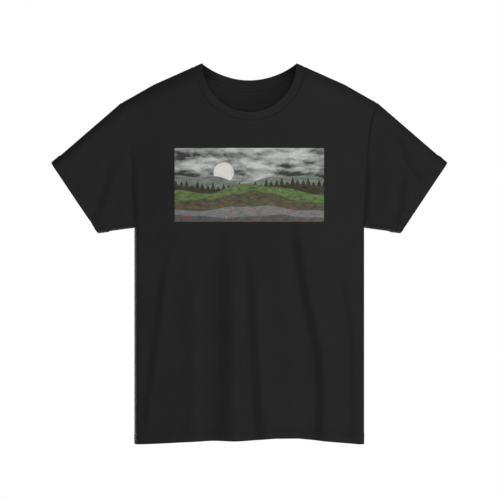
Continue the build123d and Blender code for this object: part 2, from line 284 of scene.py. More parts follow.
class ShirtCut(PropertyGroup):
    """Sizes of the shirt and its sewing."""

    chest_depth: length_property("Chest depth", "Middle of the body to the front", 0.068)
    chest_curve: length_property("Chest curve", "Radius of the front across the body", 0.877)
    side_round: length_property("Side rounding", "Rounding of the body's sides", 0.0110)
    sleeve_depth: length_property("Sleeve depth", "Middle of the sleeve to its front", 0.039)
    hem_level: length_property("Hem level", "Height of the hem's corners", -0.7625)
    hem_depth: length_property("Hem depth", "Edge to the upper row of hem stitches", 0.020)
    needle_gap: length_property("Needle gap", "Between the two rows of stitches", 0.006)
    stitch: length_property("Stitch length", "One stitch with its gap", 0.0031)
    cloth: length_property("Cloth", "Thickness of the jersey", 0.0009)
    puff: length_property("Seam puff", "How far cloth rises beside a seam", 0.0007)
    front_drop: length_property("Front neck drop", "Neck point down to the band's edge", 0.0998)
    back_drop: length_property("Back neck drop", "Neck point down to the band's edge", 0.0308)
    band_width: length_property("Band width", "Neckband from seam to edge", 0.0155)
    band_thick: length_property("Band thickness", "Folded rib", 0.0023)
    rib_pitch: length_property("Rib pitch", "One rib of the band", 0.0019)
    tape_width: length_property("Tape width", "Tape inside the back of the neck", 0.0102)
    print_width: length_property("Print width", "Printed panel", 0.2975)
    print_height: length_property("Print height", "Printed panel", 0.147)
    print_top: length_property("Print top", "Height of the print's upper edge", -0.1712)


class ShirtColours(PropertyGroup):
    """Colours of cloth, thread and ink."""

    jersey: colour_property("Jersey", "Knitted cloth", (0.0185, 0.0185, 0.0185))
    rib: colour_property("Rib", "Neckband", (0.0185, 0.0185, 0.0185))
    thread: colour_property("Thread", "Sewing thread", (0.0185, 0.0185, 0.0185))
    tape_thread: colour_property("Tape thread", "Stitches of the neck tape", (0.034, 0.034, 0.034))
    tape: colour_property("Tape", "Neck tape", (0.0190, 0.0190, 0.0190))
    sky: colour_property("Pale ink", "Upper part of the print", (0.27, 0.28, 0.27))
    hill: colour_property("Green ink", "Hills in the print", (0.11, 0.17, 0.06))
    wood: colour_property("Brown ink", "Trees in the print", (0.060, 0.056, 0.033))
    mist: colour_property("Far ink", "Far hills in the print", (0.17, 0.20, 0.17))
    ground: colour_property("Grey ink", "Lower part of the print", (0.20, 0.20, 0.195))
    spark: colour_property("Red ink", "Small dots in the print", (0.42, 0.035, 0.03))


# Shape of the worn cloth.

def signed(x, z, start, end):
    """Distance inside the line from start to end, on the side to the right of it."""
    dx, dz = end[0] - start[0], end[1] - start[1]
    return ((x - start[0]) * dz - (z - start[1]) * dx) / math.hypot(dx, dz)


def swell(t):
    """Quarter-round rise from 0 at an edge to 1."""
    t = np.clip(t, 0.0, 1.0)
    return np.sqrt(np.maximum(0.0, 1.0 - (1.0 - t) ** 2))


def ramp(low, high, value):
    """Smooth step from 0 at low to 1 at high."""
    t = np.clip((value - low) / (high - low), 0.0, 1.0)
    return t * t * (3.0 - 2.0 * t)


def top_edge(x):
    """Height of the shoulder and sleeve outline."""
    a = np.abs(x)
    slope = (SHOULDER_BEND[1] - NECK_POINT[1]) / (SHOULDER_BEND[0] - NECK_POINT[0])
    middle = (0.0, NECK_POINT[1] - slope * NECK_POINT[0])
    knots = [middle, NECK_POINT, SHOULDER_BEND, SHOULDER_TIP, CUFF_TOP]
    return np.interp(a, [k[0] for k in knots], [k[1] for k in knots])


def armhole(z):
    """Sideways place of the armhole seam at height z."""
    rise = z - UNDERARM[1]
    flare = ARMHOLE_FLARE * np.exp((z - SHOULDER_TIP[1]) / FLARE_HEIGHT)
    return UNDERARM[0] + ARMHOLE_LEAN * rise + flare * ramp(0.0, FLARE_START, rise)


def edges(x, z):
    """Distances from the folded edges above and below a point of the outline."""
    a = np.abs(x)
    above = np.minimum(signed(a, z, NECK_POINT, SHOULDER_BEND), signed(a, z, SHOULDER_BEND, SHOULDER_TIP))
    above = np.minimum(above, signed(a, z, SHOULDER_TIP, CUFF_TOP))
    side = np.maximum(UNDERARM[0] - a, 0.0)
    under = np.maximum(-signed(a, z, UNDERARM, CUFF_FOOT), 0.0)
    return np.maximum(above, 0.0), np.hypot(side, under)


def along_fold(points, x, z):
    """Distance from a line of points, positive to the right of it going down, and the share of it passed."""
    pts = np.array(points)
    lengths = np.hypot(*np.diff(pts, axis=0).T)
    best = np.full(x.shape, 1e9)
    aside = np.zeros_like(x)
    share = np.zeros_like(x)
    passed = 0.0
    for (ax, az), (bx, bz), length in zip(pts[:-1], pts[1:], lengths):
        t = np.clip(((x - ax) * (bx - ax) + (z - az) * (bz - az)) / length ** 2, 0.0, 1.0)
        away = np.hypot(x - ax - t * (bx - ax), z - az - t * (bz - az))
        hand = np.sign((bx - ax) * (z - az) - (bz - az) * (x - ax))
        nearer = away < best
        best = np.where(nearer, away, best)
        aside = np.where(nearer, away * hand, aside)
        share = np.where(nearer, (passed + t * length) / lengths.sum(), share)
        passed += length
    return aside, share


def faded(share, fade_in, fade_out):
    """Strength of a fold along its length."""
    strength = ramp(0.0, fade_in, share)
    return strength * (1.0 - ramp(1.0 - fade_out, 1.0, share)) if fade_out > 0.0 else strength


def creases(front, x, z):
    """Sum of the folds at each point."""
    total = np.zeros_like(x)
    for points, height, width, fade_in, fade_out in FRONT_FOLDS if front else BACK_FOLDS:
        aside, share = along_fold(points, x, z)
        total += height * faded(share, fade_in, fade_out) * np.exp(-0.5 * (aside / width) ** 2)
    for points, rise, width, reach, fade_in, fade_out in FRONT_TURNS if front else BACK_TURNS:
        aside, share = along_fold(points, x, z)
        slant = aside / width / (1.0 + (aside / width) ** 4) ** 0.25
        total += rise * faded(share, fade_in, fade_out) * slant * np.exp(-(aside / reach) ** 2)
    return total


def ripple(x, z, shift):
    """Slow uneven lift of relaxed cloth."""
    total = np.zeros_like(x)
    for height, *waves in RIPPLES:
        first, second = (np.sin(across * x + up * z + share * shift) for across, up, share in waves)
        total += height * first * second
    return total


def depth(cut, x, z, front):
    """How far the cloth stands in front of, or behind, the middle of the shirt."""
    a = np.abs(x)
    above, below = edges(x, z)
    centre = cut.chest_curve - cut.chest_depth
    trunk = np.sqrt(np.maximum(cut.chest_curve ** 2 - np.minimum(a, TRUNK_REACH) ** 2, 0.0)) - centre
    flat = np.full_like(a, cut.sleeve_depth)
    full = 0.5 * (trunk + flat + np.hypot(trunk - flat, SLEEVE_BLEND))
    roof = np.interp(a, ROOF_PLACES, ROOF_ROUNDS)
    floor = np.interp(a, FLOOR_PLACES, [cut.side_round, cut.side_round, SLEEVE_ROUND])
    share = swell(above / roof) * swell(below / floor)
    soft = creases(front, x, z) + ripple(x, z, 0.0 if front else BACK_SHIFT)
    return share * (full + soft)


def lift(cut, x, z, front):
    """Points of the outline carried out to the cloth."""
    y = depth(cut, x, z, front) * (-1.0 if front else 1.0)
    return np.stack([x, y, z], axis=-1)


def lengths_along(points, axis):
    """Distance travelled along one direction of a grid of points, or along a line of them."""
    step = np.linalg.norm(np.diff(points, axis=axis), axis=-1)
    start = np.zeros_like(np.take(step, [0], axis=axis))
    return np.cumsum(np.concatenate([start, step], axis=axis), axis=axis)


def follow(line, gone, at):
    """Values along a line at some distances, from the distances gone at its points."""
    return np.stack([np.interp(at, gone, column) for column in line.T], axis=-1)


def unit(vectors):
    """The same directions at length one."""
    return vectors / np.linalg.norm(vectors, axis=-1, keepdims=True)


def share_out(cut, xs, zs, front, marks):
    """Moves each line of points to the marks, given as shares of its length on the cloth."""
    gone = lengths_along(lift(cut, xs, zs, front), 1)
    marks = np.broadcast_to(marks, (len(xs), np.shape(marks)[-1]))
    new_x = np.empty(marks.shape)
    new_z = np.empty(marks.shape)
    for i in range(len(xs)):
        at = marks[i] * gone[i, -1]
        new_x[i] = np.interp(at, gone[i], xs[i])
        new_z[i] = np.interp(at, gone[i], zs[i])
    return new_x, new_z


def patch(left, right, bottom, top, across, up):
    """Surface spanned by four lines, blended by the shares across and up."""
    u = across[:, None, None]
    v = up[None, :, None]
    ruled = (1 - v) * bottom[:, None] + v * top[:, None] + (1 - u) * left[None] + u * right[None]
    corners = ((1 - u) * (1 - v) * bottom[0] + u * (1 - v) * bottom[-1]
               + (1 - u) * v * top[0] + u * v * top[-1])
    return ruled - corners


def neck_line(cut, x_share, grow, front):
    """Neck edge moved outwards by grow, from one shoulder to the other."""
    end_x = NECK_POINT[0] + grow
    end_z = float(top_edge(end_x))
    if front:
        low = -cut.front_drop - grow
        angle = x_share * math.pi / 2
        return end_x * np.sin(angle), end_z + (low - end_z) * np.cos(angle)
    low = -cut.back_drop - grow
    x = end_x * x_share
    return x, end_z + (low - end_z) * (1.0 - x_share ** 2)


def seam_top():
    """Point where the armhole seam meets the shoulder."""
    z = SHOULDER_TIP[1]
    for _ in range(30):
        z = float(top_edge(armhole(z)))
    return float(armhole(z)), z


def spread_across(cut):
    """Places across the body, as shares of its half width, evenly spaced round the cloth."""
    t = np.sin(np.linspace(-math.pi / 2, math.pi / 2, ROUND_STEPS))
    x = t * UNDERARM[0]
    centre = cut.chest_curve - cut.chest_depth
    side = swell((UNDERARM[0] - np.abs(x)) / cut.side_round)
    y = -(np.sqrt(cut.chest_curve ** 2 - x ** 2) - centre) * side
    gone = lengths_along(np.stack([x, y], axis=-1), 0)
    return np.interp(np.linspace(0.0, gone[-1], ACROSS + 1), gone, t)


def hem_rows(cut):
    """Distances from a hem's edge where its rows of quads lie, close together at edge and stitches."""
    rows = list(HEM_EDGE_ROWS)
    for stitches in (cut.hem_depth - cut.needle_gap, cut.hem_depth):
        rows += [stitches + step for step in STITCH_ROWS]
    return rows + [cut.hem_depth + step for step in ABOVE_HEM_ROWS]


def hem_marks(cut, whole):
    """Distances from a hem's edge where the rows of quads of a whole panel lie."""
    near = hem_rows(cut)
    rest = np.arange(near[-1] + ROW_PITCH, whole - ROW_SPARE, ROW_PITCH)
    return np.array(near + list(rest) + [whole])


def hem_line(cut, share, front):
    """Height of the hem's edge across the body."""
    hem = np.array(FRONT_HEM if front else BACK_HEM)
    turn = np.linspace(-1.0, 1.0, HEM_STEPS)
    kernel = np.hanning(2 * HEM_SMOOTH + 1)
    line = np.pad(np.interp(turn, hem[:, 0], hem[:, 1]), HEM_SMOOTH, "edge")
    return cut.hem_level + np.interp(share, turn, np.convolve(line, kernel / kernel.sum(), "valid"))


def body_grid(cut, share, front):
    """Places of a panel's points from the hem to the underarms."""
    z_low = hem_line(cut, share, front)[:, None]
    marks = hem_marks(cut, UNDERARM[1] - cut.hem_level)[None]
    even = cut.hem_depth + HEM_WAVE_REACH
    rest = np.clip((marks - even) / (marks[0, -1] - even), 0.0, 1.0)
    zs = z_low + np.minimum(marks, even) + (UNDERARM[1] - z_low - even) * rest
    return np.repeat(share[:, None] * UNDERARM[0], marks.shape[1], axis=1), zs


def seam_line():
    """Armhole seam from the underarm to the shoulder, close together at both ends."""
    _, end_z = seam_top()
    fine = 0.5 - 0.5 * np.cos(np.linspace(0.0, math.pi, FINE))
    z = UNDERARM[1] + fine * (end_z - UNDERARM[1])
    return np.stack([armhole(z), z], axis=-1), fine


def back_yoke(cut, share):
    """Places of the back panel's points from the underarms to the shoulders and neck."""
    seam, fine = seam_line()
    bottom = np.stack([share * UNDERARM[0], np.full_like(share, UNDERARM[1])], axis=-1)
    foot = NECK_POINT[0] + cut.band_width
    end_x = seam[-1, 0]
    edge = abs(share[int(np.argmin(np.abs(share * end_x + foot * NECK_FAN)))])
    neck_x, neck_z = neck_line(cut, np.clip(share / edge, -1.0, 1.0), cut.band_width, False)
    out_x = foot + (np.abs(share) - edge) / (1.0 - edge) * (end_x - foot)
    beyond = np.abs(share) > edge
    top_x = np.where(beyond, np.sign(share) * out_x, neck_x)
    top = np.stack([top_x, np.where(beyond, top_edge(out_x), neck_z)], axis=-1)
    yoke = patch(seam * (-1.0, 1.0), seam, bottom, top, (share + 1.0) / 2.0, fine)
    return share_out(cut, yoke[..., 0], yoke[..., 1], False, np.linspace(0.0, 1.0, YOKE_ROWS + 1))


def front_yoke(cut, share):
    """Places of the front panel's points above the underarms: two shoulders, and the part under the neck."""
    seam, fine = seam_line()
    inner = int(np.argmin(np.abs(share * UNDERARM[0] + NECK_COLUMN)))
    outer = len(share) - 1 - inner
    across = (share[:inner + 1] - share[0]) / (share[inner] - share[0])
    foot = NECK_POINT[0] + cut.band_width
    beside = np.stack(neck_line(cut, np.linspace(-NECK_TURN, -1.0, FINE), cut.band_width, True), axis=-1)
    below = np.linspace((share[inner] * UNDERARM[0], UNDERARM[1]), beside[0], FINE)
    edge = np.concatenate([below, beside[1:]])
    shoulder_x = -seam[-1, 0] + across * (seam[-1, 0] - foot)
    top = np.stack([shoulder_x, top_edge(shoulder_x)], axis=-1)
    bottom = np.stack([share[:inner + 1] * UNDERARM[0], np.full(inner + 1, UNDERARM[1])], axis=-1)
    gone = lengths_along(edge, 0)
    even = follow(edge, gone, fine * gone[-1])
    half = patch(seam * (-1.0, 1.0), even, bottom, top, across, fine)
    xs = np.zeros((len(share), YOKE_ROWS + 1))
    zs = np.zeros_like(xs)
    turn_row = None
    for side in (-1, 1):
        length = lengths_along(lift(cut, -side * edge[:, 0], edge[:, 1], True), 0)
        turn = length[FINE - 1] / length[-1]
        turn_row = turn_row or round(turn * YOKE_ROWS)
        split = np.concatenate([np.linspace(0.0, turn, turn_row + 1),
                                np.linspace(turn, 1.0, YOKE_ROWS - turn_row + 1)[1:]])
        marks = np.linspace(np.linspace(0.0, 1.0, YOKE_ROWS + 1), split, inner + 1)
        half_x, half_z = share_out(cut, -side * half[..., 0], half[..., 1], True, marks)
        if side < 0:
            xs[:inner + 1], zs[:inner + 1] = half_x, half_z
        else:
            xs[outer:], zs[outer:] = half_x[::-1], half_z[::-1]
    middle = share[inner:outer + 1]
    rows = slice(0, turn_row + 1)
    neck = np.stack(neck_line(cut, NECK_TURN * middle / middle[-1], cut.band_width, True), axis=-1)
    foot_row = np.stack([middle * UNDERARM[0], np.full_like(middle, UNDERARM[1])], axis=-1)
    sides = [np.stack([xs[i, rows], zs[i, rows]], axis=-1) for i in (inner, outer)]
    centre = patch(*sides, foot_row, neck, (middle - middle[0]) / (middle[-1] - middle[0]),
                   np.linspace(0.0, 1.0, turn_row + 1))
    xs[inner:outer + 1, rows], zs[inner:outer + 1, rows] = centre[..., 0], centre[..., 1]
    gap = slice(turn_row + 1, YOKE_ROWS + 1)
    for grid in (xs, zs):
        grid[inner:outer + 1, gap] = np.linspace(grid[inner, gap], grid[outer, gap], outer - inner + 1)
    cloth = np.ones(xs.shape, bool)
    cloth[inner + 1:outer, gap] = False
    return xs, zs, cloth


def panel_grid(cut, front):
    """Places of a panel's points on the outline, side to side by up, and which of them are cloth."""
    share = spread_across(cut)
    body_x, body_z = body_grid(cut, share, front)
    if front:
        yoke_x, yoke_z, cloth = front_yoke(cut, share)
    else:
        yoke_x, yoke_z = back_yoke(cut, share)
        cloth = np.ones(yoke_x.shape, bool)
    xs = np.concatenate([body_x, yoke_x[:, 1:]], axis=1)
    zs = np.concatenate([body_z, yoke_z[:, 1:]], axis=1)
    return xs, zs, np.concatenate([np.ones(body_x.shape, bool), cloth[:, 1:]], axis=1)


def normals_of(points, cloth=None):
    """Unit normals of a grid of points, across by up, from the quads round each point."""
    faces = np.cross(points[1:, 1:] - points[:-1, :-1], points[:-1, 1:] - points[1:, :-1])
    if cloth is not None:
        faces = faces * (cloth[1:, 1:] & cloth[:-1, :-1] & cloth[:-1, 1:] & cloth[1:, :-1])[..., None]
    n = np.zeros_like(points)
    for i in (slice(0, -1), slice(1, None)):
        for j in (slice(0, -1), slice(1, None)):
            n[i, j] += faces
    return n / np.maximum(np.linalg.norm(n, axis=-1, keepdims=True), 1e-15)


def bump(away, width):
    """Rounded rise, whole at no distance and gone at about twice its half width."""
    return np.exp(-(away / width) ** 2)


def seam_rise(away):
    """Cloth pulled down at a seam and full beside it."""
    return 1.0 - bump(away, SEAM_FURROW) + PUFF_SHARE * bump(away - PUFF_PLACE, PUFF_WIDTH)


def ends_at_hem(cut, heights, away):
    """Fall from 1 to 0 between two heights about the upper row of hem stitches."""
    return 1.0 - ramp(cut.hem_depth + heights[0], cut.hem_depth + heights[1], away)


def hem_relief(cut, away, along, pull):
    """Turned hem: doubled cloth, two stitched furrows as deep as their pull and small slanting puckers."""
    low = cut.hem_depth - cut.needle_gap
    doubled = HEM_DOUBLED * ends_at_hem(cut, DOUBLED_END, away)
    furrows = -pull * (bump(away - cut.hem_depth, STITCH_FURROW) + bump(away - low, STITCH_FURROW))
    rolled = -EDGE_ROLL * bump(away, EDGE_ROLL)
    drift = sum(size * np.sin(turns * along) for size, turns in PUCKER_DRIFT)
    wave = np.sin(2 * math.pi * (along / PUCKER_LENGTH + PUCKER_SLANT * away) + drift)
    puckers = PUCKER * wave * ramp(0.0, PUCKER_START, away) * ends_at_hem(cut, PUCKER_END, away)
    return doubled + furrows + rolled + puckers


# Meshes.

def add_object(name, data):
    """New object in the scene."""
    made = bpy.data.objects.new(name, data)
    bpy.context.scene.collection.objects.link(made)
    return made


def mesh_object(name, bm):
    """New object from a finished bmesh."""
    mesh = bpy.data.meshes.new(name)
    bm.to_mesh(mesh)
    bm.free()
    return add_object(name, mesh)


def grid_piece(name, sheets, weights=None, joined=False, cloth=None):
    """Mesh object from grids of points with their flat places, joined up where they loop."""
    bm = bmesh.new()
    uv_layer = bm.loops.layers.uv.new("cloth")
    deform = bm.verts.layers.deform.new() if weights is not None else None
    for sheet, (points, uv) in enumerate(sheets):
        nu, nv = points.shape[:2]
        made = bmesh.ops.create_grid(bm, x_segments=nu - 1, y_segments=nv - 1, size=1.0)
        place = {}
        for vert in made["verts"]:
            i = round((vert.co.x + 1.0) / 2.0 * (nu - 1))
            j = round((vert.co.y + 1.0) / 2.0 * (nv - 1))
            place[vert] = (i, j)
        for vert, (i, j) in place.items():
            for loop in vert.link_loops:
                loop[uv_layer].uv = uv[i, j]
            vert.co = points[i, j]
            if deform is not None:
                vert[deform][0] = float(weights[sheet][i, j])
    if cloth is not None:
        spare = [vert for vert, at in place.items() if not cloth[at]]
        bmesh.ops.delete(bm, geom=spare, context="VERTS")
    for face in bm.faces:
        face.smooth = True
    if joined:
        bmesh.ops.remove_doubles(bm, verts=bm.verts, dist=1e-7)
    piece = mesh_object(name, bm)
    if weights is not None:
        piece.vertex_groups.new(name="layers")
    return piece


def thicken(piece, thickness, group=None):
    """Gives a sheet its thickness, inwards."""
    wall = piece.modifiers.new("thickness", "SOLIDIFY")
    wall.thickness = thickness
    wall.offset = -1.0
    if group:
        wall.vertex_group = group


def near_neck(cut, points, front):
    """Distance of each point from the neck seam, where it is near."""
    back_half, front_half = band_ring(cut, cut.band_width)
    half = front_half if front else back_half
    seam = np.concatenate([half, half * (-1.0, 1.0, 1.0)])[::3]
    away = np.full(points.shape[:2], 1.0)
    close = points[..., 2] > -cut.front_drop - NECK_NEAR
    close &= np.abs(points[..., 0]) < NECK_POINT[0] + NECK_NEAR
    away[close] = [np.min(np.linalg.norm(seam - spot, axis=1)) for spot in points[close]]
    return away


def panel_points(cut, front):
    """Finished points of a panel, with the distances that its sewing follows."""
    xs, zs, cloth = panel_grid(cut, front)
    base = lift(cut, xs, zs, front)
    if not front:
        base, cloth = base[::-1], cloth[::-1]
    normal = normals_of(base, cloth)
    across = lengths_along(base, 0)
    up = lengths_along(base, 1)
    to_side = np.minimum(across, across[-1][None] - across)
    on_shoulder = np.abs(base[:, -1:, 0]) > NECK_POINT[0] + cut.band_width - 1e-6
    to_top = np.where(on_shoulder, up[:, -1:] - up, 1.0)
    rise = seam_rise(to_side) * seam_rise(to_top) * seam_rise(near_neck(cut, base, front))
    middle = across - across[len(base) // 2][None]
    relief = cut.puff * rise + hem_relief(cut, up, middle, HEM_PULL) * (1.0 - bump(to_side, SEAM_FLAT))
    return base + normal * relief[..., None], normal, middle, up, cloth


def layer_weights(cut, away):
    """Share of the full thickness: double in the hem."""
    return 0.5 + 0.5 * ends_at_hem(cut, LAYER_END, away)


def sleeve_points(cut, side):
    """Finished points of a sleeve, cuff to armhole by once round from the underarm."""
    armhole_line, fine = seam_line()
    marks = np.linspace(0.0, 1.0, YOKE_ROWS + 1)
    seam_x, seam_z = armhole_line.T
    cuff_x = CUFF_FOOT[0] + fine * (CUFF_TOP[0] - CUFF_FOOT[0])
    cuff_z = CUFF_FOOT[1] + fine * (CUFF_TOP[1] - CUFF_FOOT[1])
    sheets = []
    for front in (True, False):
        seam = share_out(cut, side * seam_x[None], seam_z[None], front, marks)
        mouth = share_out(cut, side * cuff_x[None], cuff_z[None], front, marks)
        start = np.stack([mouth[0][0], mouth[1][0]], axis=-1)
        end = np.stack([seam[0][0], seam[1][0]], axis=-1)
        length = np.hypot(*(end - start).T)
        hem = np.array(hem_rows(cut))
        rest = np.linspace(0.0, 1.0, SLEEVE_ROWS + 1)[1:]
        rest_at = hem[-1] + rest[None] * (length[:, None] - hem[-1])
        at = np.concatenate([np.repeat(hem[None], len(length), 0), rest_at], axis=1) / length[:, None]
        line = start[:, None] + at[..., None] * (end - start)[:, None]
        sheets.append(lift(cut, line[..., 0], line[..., 1], front))
    front_half, back_half = sheets
    base = np.concatenate([front_half, back_half[::-1][1:]], axis=0)
    base = np.swapaxes(base, 0, 1)
    if side > 0:
        base = base[:, ::-1]
    closed = np.concatenate([base[:, -2:-1], base, base[:, 1:2]], axis=1)
    normal = normals_of(closed)[:, 1:-1]
    along = lengths_along(base, 0)
    around = lengths_along(base, 1)
    to_armhole = along[-1][None] - along
    to_under = np.minimum(around, around[:, -1:] - around)
    relief = cut.puff * seam_rise(to_armhole) * (1.0 - bump(to_under, SEAM_FURROW))
    relief += hem_relief(cut, along, around, CUFF_PULL) * (1.0 - bump(to_under, SEAM_FLAT))
    return base + normal * relief[..., None], normal, around, along


def band_ring(cut, grow):
    """Line round the neck on the cloth, from the middle of the back over the wearer's left shoulder."""
    half = np.linspace(0.0, 1.0, FINE)
    turn = np.sin(half * math.pi / 2)
    back_x, back_z = neck_line(cut, turn, grow, False)
    front_x, front_z = neck_line(cut, 1.0 - (1.0 - half) ** NECK_EASE, grow, True)
    back = lift(cut, back_x, back_z, False)
    front = lift(cut, front_x, front_z, True)
    back[-1, 1] = 0.0
    front[-1, 1] = 0.0
    return back, front[::-1]


def resample(line, count):
    """Evenly spaced points along a line."""
    gone = lengths_along(line, 0)
    return follow(line, gone, np.linspace(0.0, gone[-1], count))


def ring_frame(cut, columns_back, columns_front):
    """Seam and edge of the neckband, matched column by column all the way round."""
    rings = []
    for grow in (cut.band_width, 0.0):
        back, front = band_ring(cut, grow)
        left = np.concatenate([resample(back, columns_back + 1), resample(front, columns_front + 1)[1:]])
        right = left[::-1][1:] * np.array([-1.0, 1.0, 1.0])
        rings.append(np.concatenate([left, right]))
    return rings


# Materials.

def new_finish(name):
    """Empty node material with its shader."""
    finish = bpy.data.materials.new(name)
    finish.use_nodes = True
    tree = finish.node_tree
    tree.nodes.clear()
    out = tree.nodes.new("ShaderNodeOutputMaterial")
    shader = tree.nodes.new("ShaderNodeBsdfPrincipled")
    tree.links.new(shader.outputs["BSDF"], out.inputs["Surface"])
    return finish, tree, shader


def feed(tree, node, values):
    """Gives inputs of a node, by name or place, a number, a colour or another node's socket."""
    for name, value in values.items():
        socket = node.inputs[name]
        if isinstance(value, bpy.types.NodeSocket):
            tree.links.new(value, socket)
        elif socket.type == "RGBA":
            socket.default_value = (*value, 1.0)
        else:
            socket.default_value = value


def flat_place(tree):
    """Place on the cloth laid flat, in metres."""
    node = tree.nodes.new("ShaderNodeUVMap")
    node.uv_map = "cloth"
    return node.outputs["UV"]


def shirt_place(tree):
    """Place on the shirt, in metres."""
    return tree.nodes.new("ShaderNodeTexCoord").outputs["Object"]


def two_parts(tree, vector):
    """First two parts of a vector."""
    node = tree.nodes.new("ShaderNodeSeparateXYZ")
    tree.links.new(vector, node.inputs[0])
    return node.outputs[0], node.outputs[1]


def math_node(tree, kind, first, second=0.0, third=0.0):
    """Math node fed by numbers or sockets."""
    node = tree.nodes.new("ShaderNodeMath")
    node.operation = kind
    feed(tree, node, {0: first, 1: second, 2: third})
    return node.outputs[0]


def mix_colour(tree, share, first, second):
    """Mix of two colours, each a socket or three numbers."""
    node = tree.nodes.new("ShaderNodeMix")
    node.data_type = "RGBA"
    feed(tree, node, {0: share, 6: first, 7: second})
    return node.outputs[2]


def shades(colour, dark, light):
    """A darker and a lighter shade of a colour."""
    return tuple(dark * c for c in colour), tuple(min(1.0, light * c) for c in colour)


def noise_node(tree, vector, scale, detail=2.0, rough=0.5):
    """Noise as a number from 0 to 1."""
    node = tree.nodes.new("ShaderNodeTexNoise")
    feed(tree, node, {"Vector": vector, "Scale": scale, "Detail": detail, "Roughness": rough})
    return node.outputs["Fac"]


def knit_height(tree, uv, wale, course):
    """Height of plain knitting: columns of slanting loops."""
    across, up = two_parts(tree, uv)
    u = math_node(tree, "DIVIDE", across, wale)
    v = math_node(tree, "DIVIDE", up, course)
    leg = math_node(tree, "ABSOLUTE", math_node(tree, "SUBTRACT", math_node(tree, "FRACT", u), 0.5))
    slant = math_node(tree, "MULTIPLY_ADD", leg, LOOP_SLANT, v)
    loops = math_node(tree, "SINE", math_node(tree, "MULTIPLY", slant, 2 * math.pi))
    loops = math_node(tree, "MULTIPLY_ADD", loops, *LOOP_SWING)
    valley = math_node(tree, "MULTIPLY", leg, 2.0)
    dome = math_node(tree, "SUBTRACT", 1.0, math_node(tree, "POWER", valley, WALE_POWER))
    return math_node(tree, "MULTIPLY", loops, dome)


def raise_surface(tree, shader, height, strength, distance):
    """Fine relief of a finish."""
    relief = tree.nodes.new("ShaderNodeBump")
    feed(tree, relief, {"Height": height, "Strength": strength, "Distance": distance})
    tree.links.new(relief.outputs["Normal"], shader.inputs["Normal"])


def cloth_finish(name, colour, wale, course, roughness, relief):
    """Matt knitted cotton with uneven dye, lint, a fine knit and painted shade in the knit's valleys."""
    finish, tree, shader = new_finish(name)
    place = shirt_place(tree)
    knit = knit_height(tree, flat_place(tree), wale, course)
    broad = noise_node(tree, place, scale=9.0, detail=3.0, rough=0.55)
    yarn = noise_node(tree, place, scale=420.0, detail=3.0, rough=0.65)
    lint = noise_node(tree, place, scale=1500.0, detail=2.0, rough=0.7)
    dark, light = shades(colour, dark=0.80, light=1.22)
    _, pale = shades(colour, dark=1.0, light=3.2)
    tone = math_node(tree, "MULTIPLY_ADD", broad, 0.5, math_node(tree, "MULTIPLY", yarn, 0.5))
    base = mix_colour(tree, tone, dark, light)
    # Painted shade: the valleys between the knit's columns are darkened in colour.
    base = mix_colour(tree, math_node(tree, "MULTIPLY_ADD", knit, -KNIT_VALLEY_PAINTED_SHADE, KNIT_VALLEY_PAINTED_SHADE), base, dark)
    speck = math_node(tree, "MULTIPLY", math_node(tree, "GREATER_THAN", lint, LINT_ABOVE), LINT_SHARE)
    base = mix_colour(tree, speck, base, pale)
    rough = math_node(tree, "MULTIPLY_ADD", yarn, YARN_ROUGH, roughness - YARN_ROUGH / 2)
    feed(tree, shader, {"Base Color": base, "Roughness": rough, "Specular IOR Level": 0.06,
                        "Sheen Weight": 0.01, "Sheen Roughness": 0.55})
    height = math_node(tree, "MULTIPLY_ADD", yarn, YARN_HEIGHT, knit)
    raise_surface(tree, shader, height, strength=relief, distance=0.00025)
    return finish


def thread_finish(name, colour):
    """Twisted polyester sewing thread."""
    finish, tree, shader = new_finish(name)
    twist = noise_node(tree, shirt_place(tree), scale=2600.0, detail=2.0, rough=0.6)
    base = mix_colour(tree, twist, *shades(colour, dark=0.7, light=1.35))
    rough = math_node(tree, "MULTIPLY_ADD", twist, *THREAD_ROUGH)
    feed(tree, shader, {"Base Color": base, "Roughness": rough, "Specular IOR Level": 0.12})
    return finish


